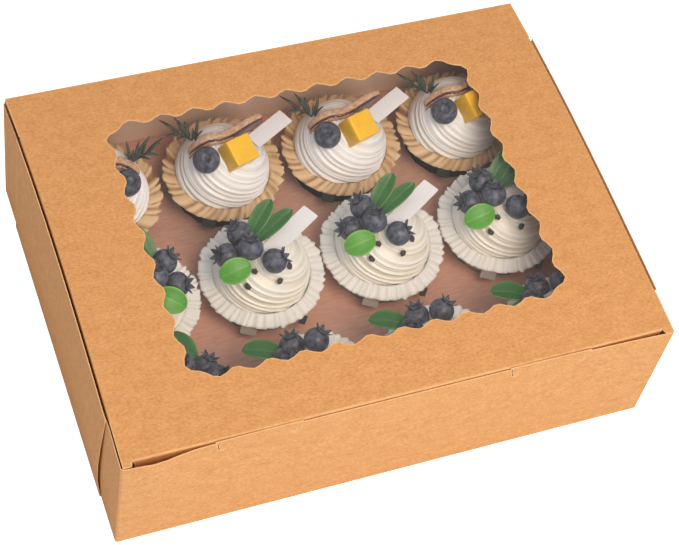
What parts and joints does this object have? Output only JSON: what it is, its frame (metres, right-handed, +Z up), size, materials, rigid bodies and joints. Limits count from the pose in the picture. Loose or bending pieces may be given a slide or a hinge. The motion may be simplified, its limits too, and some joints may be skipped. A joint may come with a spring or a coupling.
{
  "type": "windowed cupcake box",
  "caption": "Kraft bakery carton with a hinged tuck-in lid, a scalloped film window, a raised cup tray and decorated cupcakes standing in it.",
  "frame": {"origin": "middle of the carton's underside, on the surface it stands on", "axes": "+X along the length to the right, +Y from the front wall to the back wall with the lid hinge, +Z up"},
  "size_m": [0.3335, 0.2535, 0.09],
  "materials": {
    "kraft_board": "uncoated brown kraft board",
    "clear_film": "clear glossy film",
    "tray_card": "uncoated brown card",
    "kraft_cup_paper": "pleated brown baking paper",
    "white_cup_paper": "pleated white baking paper",
    "sponge_cake": "soft baked crumb",
    "whipped_cream": "satin piped cream",
    "tag_card": "smooth uncoated card",
    "mango_flesh": "moist cut fruit",
    "baked_crust": "dry baked crust"
  },
  "bodies": {
    "box": {"carton_base": "kraft_board", "cup_tray": "tray_card", "cup_back_1": "kraft_cup_paper", "sponge_back_1": "sponge_cake", "cream_back_1": "whipped_cream", "tag_back_1": "tag_card", "mango_back_1": "mango_flesh", "crust_back_1": "baked_crust", "cup_back_2": "kraft_cup_paper", "sponge_back_2": "sponge_cake", "cream_back_2": "whipped_cream", "tag_back_2": "tag_card", "mango_back_2": "mango_flesh", "crust_back_2": "baked_crust", "cup_back_3": "kraft_cup_paper", "sponge_back_3": "sponge_cake", "cream_back_3": "whipped_cream", "tag_back_3": "tag_card", "mango_back_3": "mango_flesh", "crust_back_3": "baked_crust", "cup_back_4": "kraft_cup_paper", "sponge_back_4": "sponge_cake", "cream_back_4": "whipped_cream", "tag_back_4": "tag_card", "mango_back_4": "mango_flesh", "crust_back_4": "baked_crust", "cup_middle_1": "white_cup_paper", "sponge_middle_1": "sponge_cake", "cream_middle_1": "whipped_cream", "tag_middle_1": "tag_card", "cup_middle_2": "white_cup_paper", "sponge_middle_2": "sponge_cake", "cream_middle_2": "whipped_cream", "tag_middle_2": "tag_card", "cup_middle_3": "white_cup_paper", "sponge_middle_3": "sponge_cake", "cream_middle_3": "whipped_cream", "tag_middle_3": "tag_card", "cup_middle_4": "white_cup_paper", "sponge_middle_4": "sponge_cake", "cream_middle_4": "whipped_cream", "tag_middle_4": "tag_card", "cup_front_1": "white_cup_paper", "sponge_front_1": "sponge_cake", "cream_front_1": "whipped_cream", "tag_front_1": "tag_card", "cup_front_2": "white_cup_paper", "sponge_front_2": "sponge_cake", "cream_front_2": "whipped_cream", "tag_front_2": "tag_card", "cup_front_3": "white_cup_paper", "sponge_front_3": "sponge_cake", "cream_front_3": "whipped_cream", "tag_front_3": "tag_card", "cup_front_4": "white_cup_paper", "sponge_front_4": "sponge_cake", "cream_front_4": "whipped_cream", "tag_front_4": "tag_card"},
    "lid": {"lid": "kraft_board", "window_film": "clear_film"}
  },
  "joints": [
    {"name": "lid_hinge", "type": "hinge", "parent": "box", "child": "lid", "pos_m": [0, 0.126, 0.09], "axis": [-1, 0, 0], "range_deg": [0, 180]}
  ]
}
